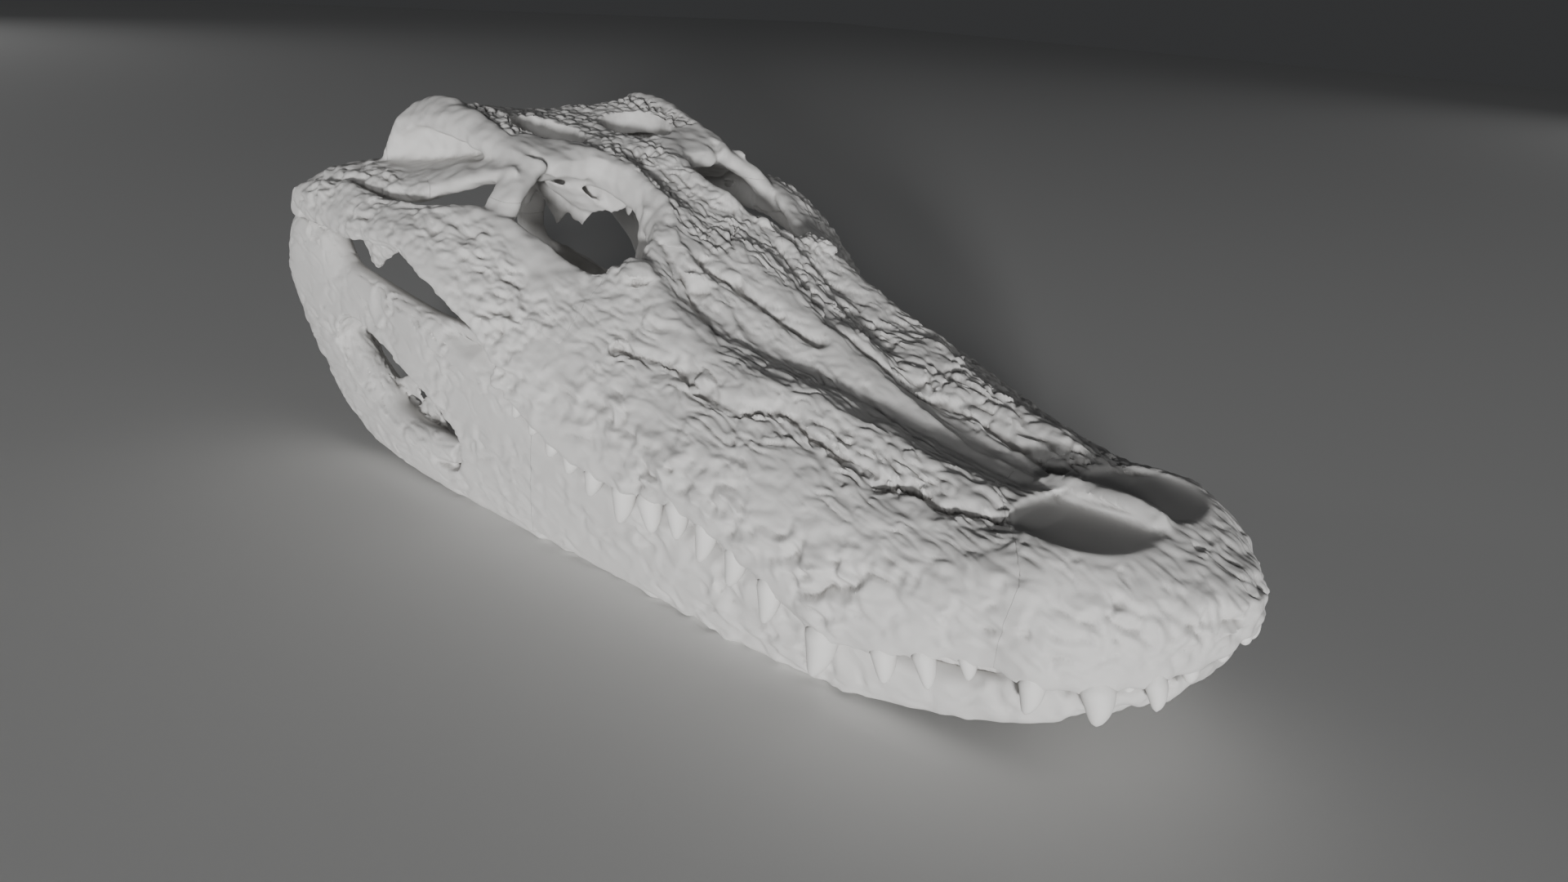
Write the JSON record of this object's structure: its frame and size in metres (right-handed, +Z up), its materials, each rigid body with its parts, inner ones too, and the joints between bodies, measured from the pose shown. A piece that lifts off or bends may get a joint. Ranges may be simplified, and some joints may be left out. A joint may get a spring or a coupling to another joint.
{
  "type": "alligator skull",
  "caption": "Life-size skull of a large alligator with its lower jaw closed and its teeth set, divided into its main bones.",
  "frame": {"origin": "on the floor, under the middle of the whole skull's outline", "axes": "+Z up from the floor the skull lies on, -Y the way the snout points, +X the animal's left side"},
  "size_m": [0.2512, 0.5208, 0.1829],
  "materials": {
    "premaxilla_left": "matt dry bone",
    "premaxilla_right": "matt dry bone",
    "maxilla_left": "matt dry bone",
    "maxilla_right": "matt dry bone",
    "jugal_left": "matt dry bone",
    "jugal_right": "matt dry bone",
    "quadrate_left": "matt dry bone",
    "quadrate_right": "matt dry bone",
    "dentary_left": "matt dry bone",
    "dentary_right": "matt dry bone",
    "rear_jaw_left": "matt dry bone",
    "rear_jaw_right": "matt dry bone",
    "skull_roof": "matt dry bone",
    "palate": "matt dry bone"
  },
  "bodies": {
    "root": {"premaxilla_left": "premaxilla_left", "premaxilla_right": "premaxilla_right", "maxilla_left": "maxilla_left", "maxilla_right": "maxilla_right", "jugal_left": "jugal_left", "jugal_right": "jugal_right", "quadrate_left": "quadrate_left", "quadrate_right": "quadrate_right", "dentary_left": "dentary_left", "dentary_right": "dentary_right", "rear_jaw_left": "rear_jaw_left", "rear_jaw_right": "rear_jaw_right", "skull_roof": "skull_roof", "palate": "palate"}
  },
  "joints": []
}
